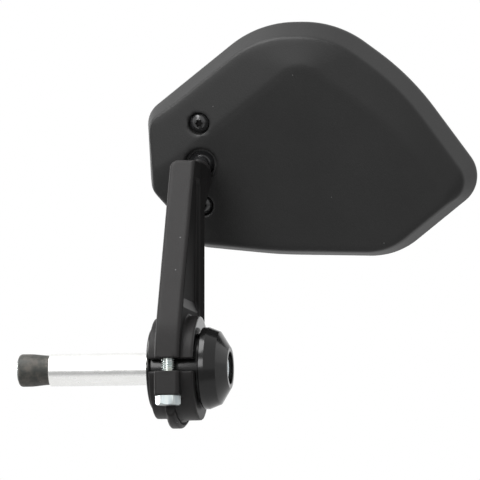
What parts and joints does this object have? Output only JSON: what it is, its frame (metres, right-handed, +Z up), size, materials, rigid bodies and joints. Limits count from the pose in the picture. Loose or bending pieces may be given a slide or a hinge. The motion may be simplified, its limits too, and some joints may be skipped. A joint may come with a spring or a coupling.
{
  "type": "motorcycle bar end mirror",
  "caption": "Adjustable bar end mirror: expanding plug with a clamp hub, leaning cast arm, ball joint and a convex glass in a moulded shell.",
  "frame": {"origin": "on the handlebar's axis, where the handlebar's end face meets the inner face of the hub's flange", "axes": "+X along the handlebar, outboard; +Z up, along the clamp bolt; the back of the mirror looks to -Y and the glass to +Y"},
  "size_m": [0.1905, 0.1007, 0.1785],
  "materials": {
    "black_turned": "black anodised, turned, semi-gloss",
    "bright_tube": "bright drawn",
    "rubber": "smooth moulded",
    "zinc_steel": "zinc plated",
    "black_casting": "satin black paint with a fine grain",
    "black_steel": "black oxide",
    "liner": "smooth moulded",
    "black_shell": "fine-textured moulded",
    "carrier": "smooth moulded",
    "pad": "foam",
    "mirror": "silvered convex glass"
  },
  "bodies": {
    "bar_end": {"hub": "black_turned", "sleeve_tube": "bright_tube", "expander_rubber": "rubber", "end_cap": "black_turned", "bolt_washer": "zinc_steel"},
    "expander_bolt": {"expander_bolt": "zinc_steel"},
    "expander_nut": {"expander_nut": "zinc_steel"},
    "arm": {"arm": "black_casting", "clamp_bolt": "zinc_steel", "ball_stud": "black_steel"},
    "rear_liner": {"socket_liner_rear": "liner"},
    "front_liner": {"socket_liner_front": "liner"},
    "mirror_head": {"housing": "black_shell", "socket_clamp_plate": "black_steel", "clamp_plate_nuts": "zinc_steel", "housing_screws": "black_steel", "glass_carrier": "carrier", "glass_pad": "pad", "mirror_glass": "mirror"}
  },
  "joints": [
    {"name": "arm_swivel", "type": "hinge", "parent": "bar_end", "child": "arm", "pos_m": [0, 0, 0], "axis": [1, 0, 0], "continuous": true},
    {"name": "head_tilt", "type": "hinge", "parent": "arm", "child": "rear_liner", "pos_m": [0.0135, 0.0496, 0.0934], "axis": [1, 0, 0], "range_deg": [-15, 15]},
    {"name": "head_pan", "type": "hinge", "parent": "rear_liner", "child": "front_liner", "pos_m": [0.0135, 0.0496, 0.0934], "axis": [0, -0.2924, 0.9563], "range_deg": [-15, 15]},
    {"name": "head_spin", "type": "hinge", "parent": "front_liner", "child": "mirror_head", "pos_m": [0.0135, 0.0496, 0.0934], "axis": [0, 0.9563, 0.2924], "continuous": true},
    {"name": "expander_turn", "type": "hinge", "parent": "bar_end", "child": "expander_bolt", "pos_m": [0, 0, 0], "axis": [-1, 0, 0], "range_deg": [0, 1080]},
    {"name": "expander_draw", "type": "slide", "parent": "bar_end", "child": "expander_nut", "axis": [1, 0, 0], "range_m": [0, 0.003], "deforming": ["expander_rubber"]}
  ],
  "couplings": [
    {"joint": "expander_draw", "follows": "expander_turn", "m_per_rad": 0.00015915}
  ]
}
